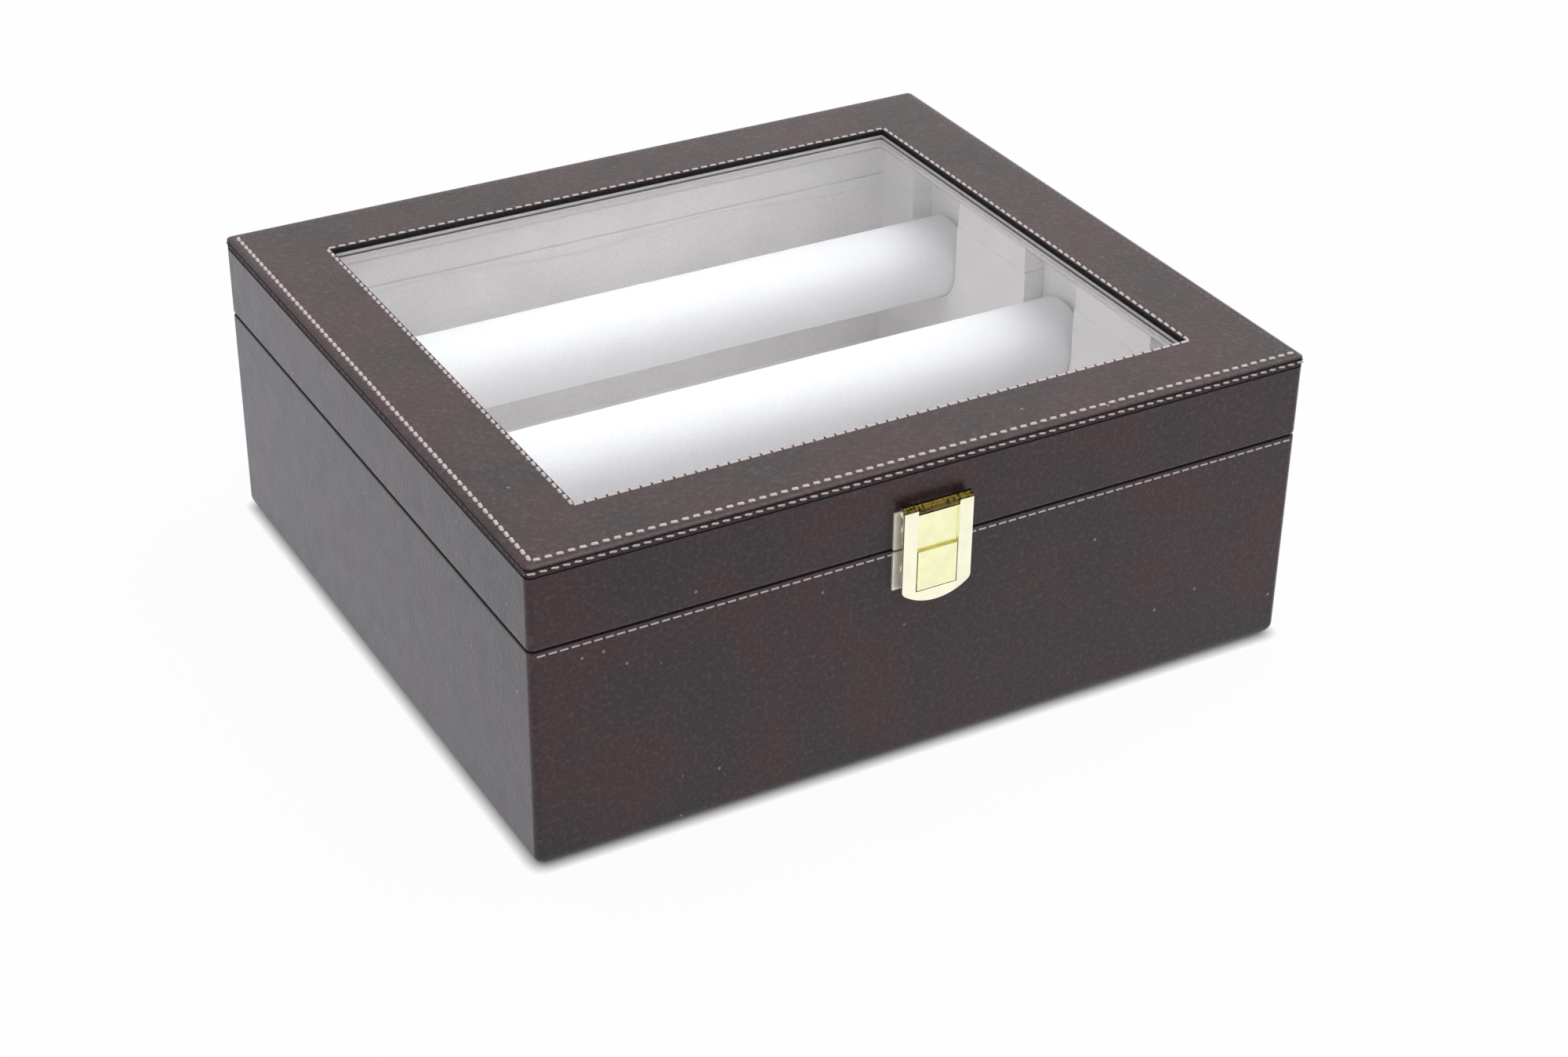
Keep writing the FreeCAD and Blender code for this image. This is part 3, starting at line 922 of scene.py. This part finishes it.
highlight_top_z = glass_high.z + window_highlight_depth
shoulder_z = top_high.z - shoulder_rise
crease_z = shoulder_z - crease_height / 2


def drawn_in(width):
    """The half width and half depth of the lid less some width."""
    return (outer[0] - width, outer[1] - width)


def add_level_sheet(name, half, z, rounding):
    """A level face with rounded corners."""
    clear_selection()
    bpy.ops.mesh.primitive_plane_add(size=2, location=(0, 0, z))
    piece = bpy.context.object
    piece.name = name
    piece.scale = (half[0], half[1], 1)
    settle(piece)
    choose_all(piece, "VERT")
    bpy.ops.mesh.bevel(offset=rounding, segments=5, affect="VERTICES")
    choose_all(piece)
    return piece


def shoulder_height(width):
    """How high the padded edge stands at some width in from the outer wall."""
    share = (shoulder_width - width) / shoulder_width
    return shoulder_z + shoulder_rise * math.sqrt(1 - share ** 2)


top_leather = add_level_sheet("lid_top_sheet", outer, cut_z, corner_rounding)
# Up the side from the cut edge, in at the crease and out again.
extrude_chosen(crease_z - crease_height / 2 - cut_z)
extrude_chosen(crease_height / 2)
widen(outer, drawn_in(crease_depth), crease_z)
extrude_chosen(crease_height / 2)
widen(drawn_in(crease_depth), outer, shoulder_z)
# Drawn in by steps, up a quarter round.
reached = 0.0
for width in shoulder_steps:
    bpy.ops.mesh.inset(thickness=width - reached)
    lift(shoulder_height(width) - shoulder_height(reached))
    reached = width
# The rounding has nearly run out at each corner here, so its points are merged into one.
for turn_x in (-1, 1):
    for turn_y in (-1, 1):
        choose(top_leather, "VERT", lambda vertex: near(vertex.co.z, shoulder_height(reached))
               and vertex.co.x * turn_x > 0 and vertex.co.y * turn_y > 0)
        bpy.ops.mesh.merge(type="CENTER")
choose(top_leather, "FACE", lambda face: at_level(face, shoulder_height(reached)))
merged = [vertex.co.copy() for vertex in bmesh.from_edit_mesh(top_leather.data).verts
          if vertex.select]
widen([abs(value) for value in merged[0]], drawn_in(reached), shoulder_height(reached))
bpy.ops.mesh.inset(thickness=shoulder_width - reached)
lift(top_high.z - shoulder_height(reached))
# The flat border, the stitches' furrow, and the window's wall down to the glass.
extrude_chosen()
widen(drawn_in(shoulder_width), window_furrow, top_high.z)
for width in (channel_half_width, channel_half_width, window_stitch_in - channel_half_width):
    bpy.ops.mesh.inset(thickness=width)
extrude_chosen(highlight_top_z - top_high.z)
extrude_chosen(-window_highlight_depth)
bpy.ops.mesh.delete(type="FACE")
choose(top_leather, "VERT", lambda vertex: near(vertex.co.z, top_high.z)
       and near(abs(vertex.co.x), window_seam[0]) and near(abs(vertex.co.y), window_seam[1]))
lift(-channel_depth)
# The underside, from the cut edge in to the window.
choose(top_leather, "FACE", lambda face: at_level(face, cut_z))
bpy.ops.mesh.delete(type="FACE")
choose(top_leather, "EDGE", lambda edge: edge.is_boundary and at_level(edge, cut_z))
reach, level = outer, cut_z
for new_reach, new_level in ((drawn_in(cut_bulge), side_high.z + cut_bulge),
                             (drawn_in(top_cut_rounding), side_high.z),
                             (drawn_in(leather_thickness), side_high.z),
                             (drawn_in(leather_thickness), under_z),
                             (window_out, under_z),
                             (window_out, glass_high.z)):
    extrude_chosen(new_level - level)
    widen(reach, new_reach, new_level)
    reach, level = new_reach, new_level
join_open_ends(top_leather)
choose(top_leather, "EDGE", lambda edge: at_level(edge, top_high.z) and all(
    abs(vertex.co.x) < window[0] + edge_slack and abs(vertex.co.y) < window[1] + edge_slack
    for vertex in edge.verts))
bevel_chosen(window_rounding, 3)
close_up(top_leather)
smooth(top_leather)
top_finish = leather("brown_top_leather", top_dark, top_brown, sheen=0.15,
                     bloom=(1.0, 0.86, 0.86), relief=0.03 * mm)
finish_piece(top_leather, "lid", top_finish, "leather", "lid_top_leather")


def in_window(face):
    """True for the walls of the window, with most of the rounding above them."""
    point = centre(face)
    edge = 0.7 * window_rounding
    inside = abs(point.x) < window[0] + edge and abs(point.y) < window[1] + edge
    return inside and highlight_top_z < point.z < top_high.z - 0.01 * mm


def in_painted_highlight(face):
    """True for the strip at the foot of the window's wall, just above the glass, that gets a
    painted highlight.
    """
    point = centre(face)
    return point.z < highlight_top_z and (near(abs(point.x), window[0]) or near(abs(point.y), window[1]))


def in_crease(face):
    """True for the slopes of the crease, and not for the upright faces beside it."""
    return near(centre(face).z, crease_z, crease_height / 2) and abs(face.normal.z) > 0.2


def under_crease(face):
    """True for the outside of the sheet below its crease."""
    point = centre(face)
    return point.z < crease_z - crease_height / 2 and past_walls(point, top_high) > -outer_skin


# Painted shade: the window's wall and the slopes of the crease are painted black.
paint_faces(top_leather, painted_shade_finish, lambda face: in_window(face) or in_crease(face))
# Painted highlight: a pale strip at the foot of the window's wall, where the glass meets the
# leather.
paint_faces(top_leather, painted_light_paint("window_painted_highlight", window_painted_highlight, 1.05), in_painted_highlight)
# Painted shade: the sheet's outside below the crease is painted the same darker brown.
paint_faces(top_leather, band_shade_paint, under_crease)

# Stitching
# Thick cream thread: a row along each edge of the top and a finer one on the side just below it, a
# row round the window, and one under the base's front rim. The right and back rows of the top and
# the side rows but the front one are finer, and their thread is painted dim as painted shade.
thread_cream = (204, 191, 191)
thread_painted_dim = (112, 101, 102)
thread_twist = 1.6 * mm
thread_reach = 0.3 * mm
edge_stitch_in = 3.1 * mm
stitch_pitch = 3.6 * mm
stitch_slant = 9
stitch_bend = 0.32
stitch_end = 0.45
stitch_taper = 0.6
face_stitch_z = 102.85 * mm
corner_stitch_reach = 1.3 * mm


def thread(name, colour):
    material, nodes, links, shader, place = new_finish(name, 0.7)
    twist = nodes.new("ShaderNodeTexWave")
    twist.bands_direction = "DIAGONAL"
    twist.inputs["Scale"].default_value = 1 / thread_twist
    twist.inputs["Distortion"].default_value = 1.0
    links.new(place, twist.inputs["Vector"])
    strands = twist.outputs["Fac"]
    links.new(add_ramp(nodes, links, strands, (0.1, tinted(colour, 0.86)), (0.7, colour)),
              shader.inputs["Base Color"])
    add_bump(nodes, links, shader, strands, 0.05 * mm)
    return material


def add_stitch(name, length, width, height):
    """One stitch along X, with its outside up along Z and its ends drawn down into the leather."""
    clear_selection()
    bpy.ops.mesh.primitive_cylinder_add(vertices=8, radius=0.5, depth=1,
                                        rotation=(0, math.radians(90), 0))
    stitch = bpy.context.object
    stitch.name = name
    stitch.scale = (height, width, length)
    settle(stitch)
    for cut in (-stitch_bend, stitch_bend):
        choose_all(stitch)
        bpy.ops.mesh.bisect(plane_co=(cut * length, 0, 0), plane_no=(1, 0, 0))
    choose(stitch, "VERT", lambda vertex: abs(vertex.co.x) > stitch_end * length)
    bpy.ops.transform.resize(value=(1, stitch_taper, stitch_taper), center_override=(0, 0, 0))
    lift(-0.5 * height)
    choose_all(stitch)
    bpy.ops.transform.rotate(value=math.radians(stitch_slant), orient_axis="Z",
                             center_override=(0, 0, 0))
    return stitch


def add_row(stitch, start, end, outwards):
    """Copies of a stitch from start to end, with their outsides facing outwards."""
    start, end, outwards = Vector(start), Vector(end), Vector(outwards)
    along = (end - start).normalized()
    count = round((end - start).length / stitch_pitch)
    step = (end - start).length / count
    row = stitch.copy()
    row.data = stitch.data.copy()
    bpy.context.scene.collection.objects.link(row)
    pick(row)
    repeat = row.modifiers.new("repeat", "ARRAY")
    repeat.count = count
    repeat.use_relative_offset = False
    repeat.use_constant_offset = True
    repeat.constant_offset_displace = (step, 0, 0)
    bpy.ops.object.modifier_apply(modifier=repeat.name)
    across = outwards.cross(along)
    turn = Matrix((along, across, outwards)).transposed().to_4x4()
    row.matrix_world = Matrix.Translation(start + along * step / 2) @ turn
    settle(row)
    return row


def sew(name, seams, body, node):
    """Joins rows of stitches into one piece. A seam is a stitch and the rows that it makes."""
    made = [add_row(stitch, *row) for stitch, rows in seams for row in rows]
    clear_selection()
    for row in made:
        row.select_set(True)
    bpy.context.view_layer.objects.active = made[0]
    bpy.ops.object.join()
    seam = bpy.context.object
    seam.name = name
    smooth(seam, 60)
    finish_piece(seam, body, thread_finish, "thread", node)
    for stitch, rows in seams:
        bpy.data.objects.remove(stitch)
    return seam


def ring(half, z, sideways=False):
    """Four rows round a rectangle from the front on, facing up or sideways away from the box."""
    x, y = half
    corners = [(-x, -y, z), (x, -y, z), (x, y, z), (-x, y, z)]
    facing = ((0, -1, 0), (1, 0, 0), (0, 1, 0), (-1, 0, 0)) if sideways else [(0, 0, 1)] * 4
    return [(corners[i], corners[(i + 1) % 4], facing[i]) for i in range(4)]


def in_dimmed_rows(face):
    """True on the right and back rows of the top and on all side rows but the front one."""
    point = centre(face)
    top_row = edge_stitch_in + thread_reach
    on_side = past_walls(point, top_high) > -thread_reach and point.y > mm - outer[1]
    on_right = point.x > outer[0] - top_row and point.y > edge_stitch_in + mm - outer[1]
    on_back = point.y > outer[1] - top_row and point.x > edge_stitch_in + mm - outer[0]
    return on_side or on_right or on_back


thread_finish = thread("cream_thread", thread_cream)
edge_stitch = add_stitch("edge_stitch", 2.5 * mm, 1.3 * mm, 1.0 * mm)
left_stitch = add_stitch("left_stitch", 3.1 * mm, 1.3 * mm, 1.0 * mm)
face_stitch = add_stitch("face_stitch", 2.8 * mm, 0.7 * mm, 0.36 * mm)
faint_stitch = add_stitch("faint_stitch", 2.2 * mm, 0.4 * mm, 0.16 * mm)
front_row, right_row, back_row, left_row = ring(drawn_in(edge_stitch_in), top_high.z)
row_start, row_end, row_up = front_row
front_row = (row_start, (row_end[0] + corner_stitch_reach, *row_end[1:]), row_up)
face_rows = ring(outer, face_stitch_z, sideways=True)
edge_seams = [(edge_stitch, [front_row]), (left_stitch, [left_row]), (face_stitch, face_rows[:1]),
              (faint_stitch, [right_row, back_row] + face_rows[1:])]
edge_stitches = sew("lid_edge_stitches", edge_seams, "lid", "lid_edge_stitching")
# Painted shade: these rows get darker thread so that they stay faint.
paint_faces(edge_stitches, thread("painted_dim_thread", thread_painted_dim), in_dimmed_rows)
window_stitch = add_stitch("window_stitch", 2.9 * mm, 1.3 * mm, 1.1 * mm)
window_rows = ring(window_seam, top_high.z - channel_depth)
sew("lid_window_stitches", [(window_stitch, window_rows)], "lid", "lid_window_stitching")
rim_stitch = add_stitch("rim_stitch", 2.6 * mm, 0.7 * mm, 0.7 * mm)
rim_low, rim_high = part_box("base_rim_stitching")
rim_y = base_low.y + channel_depth
rim_row = ((rim_low.x, rim_y, rim_stitch_z), (rim_high.x, rim_y, rim_stitch_z), (0, -1, 0))
sew("base_rim_stitches", [(rim_stitch, [rim_row])], "base", "base_rim_stitching")

# Glass
# A clear pane, 2 mm thick, laid between the turned-in leather and the frame under it. The frame
# is glued in from below and holds it all round.
glass_tint = (0.97, 0.98, 0.98)


def clear_glass():
    material, nodes, links, shader, place = new_finish("clear_glass", 0.0)
    shader.inputs["Base Color"].default_value = (*glass_tint, 1)
    shader.inputs["Transmission Weight"].default_value = 1.0
    shader.inputs["IOR"].default_value = 1.45
    path = nodes.new("ShaderNodeLightPath")
    open_way = nodes.new("ShaderNodeBsdfTransparent")
    mix = nodes.new("ShaderNodeMixShader")
    links.new(path.outputs["Is Shadow Ray"], mix.inputs["Fac"])
    links.new(shader.outputs[0], mix.inputs[1])
    links.new(open_way.outputs[0], mix.inputs[2])
    links.new(mix.outputs[0], nodes["Material Output"].inputs["Surface"])
    return material


dress(["glass_pane"], clear_glass())

# Window frame
# A flat frame covered with grey-white velvet holds the glass from below. The edge that shows in
# the window is rounded.
liner_white = (222, 217, 219)
liner_shade = (205, 200, 202)
liner_rounding = 0.3 * mm


def liner_velvet():
    material, nodes, links, shader, place = new_finish("liner_velvet", 0.85)
    nap = add_noise(nodes, links, place, short_nap, 6)
    links.new(add_ramp(nodes, links, nap, (0.3, liner_shade), (0.6, liner_white)),
              shader.inputs["Base Color"])
    add_bump(nodes, links, shader, nap, 0.1 * mm)
    return material


finish_piece(soft_copy("window_liner_frame", "window_frame", liner_rounding), "lid",
             liner_velvet(), "lining", "window_liner_frame")

# Latch
# A pressed brass catch: a plate with a stud on the base, a plate with a knuckle on the lid, and a
# hinged flap whose spring tongue snaps over the stud. It is pale gold, with painted shade round the
# pin.
brass_pale = (255, 254, 228)
brass_gold = (254, 253, 206)
brass_satin = (255, 250, 240)
brass_shaded = (176, 164, 96)
brass_painted_shade = (104, 88, 40)
scratch_size = 0.7 * mm
metal_rounding = 0.15 * mm
knuckle_start_z = 88.7 * mm
knuckle_start_y = -121.3 * mm
ear_curl_z = 90.6 * mm
tongue_step_z = 76.2 * mm
tongue_step_reach = 0.3 * mm


def brass(name, colour, evenness, cloud=6 * mm, metallic=1.0, roughest=0.3):
    """Brass with fine scratches, and clouds that keep some share of its colour."""
    material, nodes, links, shader, place = new_finish(name, 0.16)
    shader.inputs["Metallic"].default_value = metallic
    clouds = add_noise(nodes, links, place, cloud, 3)
    links.new(add_ramp(nodes, links, clouds, (0.3, tinted(colour, evenness)), (0.55, colour)),
              shader.inputs["Base Color"])
    scratches = add_noise(nodes, links, place, scratch_size, 6)
    links.new(add_range(nodes, links, scratches, roughest / 3, roughest),
              shader.inputs["Roughness"])
    add_bump(nodes, links, shader, scratches, 0.01 * mm)
    return material


brass_finish = brass("pale_brass", brass_pale, 0.97)
gold_finish = brass("yellow_brass", brass_gold, 0.97)
satin_finish = brass("satin_brass", brass_satin, 0.95, metallic=0.5, roughest=0.6)
shaded_finish = brass("shaded_brass", brass_shaded, 0.9)
pin_shade_finish = brass("painted_shade_brass", brass_painted_shade, 0.12, cloud=1.2 * mm)
latch = {}
for node, body, finish in (("latch_catch_plate", "base", satin_finish),
                           ("latch_lid_plate", "lid", satin_finish),
                           ("latch_flap", "latch_flap", brass_finish),
                           ("latch_spring_tongue", "latch_flap", gold_finish)):
    latch[node] = soft_copy(node, node.replace("latch_", "catch_"), metal_rounding, 2)
    finish_piece(latch[node], body, finish, "brass", node)
# Painted shade: the knuckle round the pin and the tops of the flap's ears are painted dark brass.
paint_faces(latch["latch_lid_plate"], pin_shade_finish,
            lambda face: centre(face).z > knuckle_start_z and centre(face).y < knuckle_start_y)
paint_faces(latch["latch_flap"], pin_shade_finish, lambda face: centre(face).z > ear_curl_z)
# Painted shade: the upward step across the tongue is painted darker brass.
paint_faces(latch["latch_spring_tongue"], shaded_finish, lambda face: face.normal.z > 0.3
            and near(centre(face).z, tongue_step_z, tongue_step_reach))
dress(["latch_pin", "latch_catch_screws", "latch_lid_screws"], brass_finish)

# Hinges
# Two brass butt hinges at the back, each with a leaf on the base, a leaf on the lid and a pin.
# Both leaves are screwed into the boards.
for side in ("left", "right"):
    for part in ("base", "lid"):
        node = side + "_hinge_" + part + "_leaf"
        leaf = soft_copy(node, side + "_" + part + "_hinge", metal_rounding, 2)
        finish_piece(leaf, part, brass_finish, "brass", node)
dress(["hinge_pins", "base_hinge_screws", "lid_hinge_screws"], brass_finish)

clear_selection()
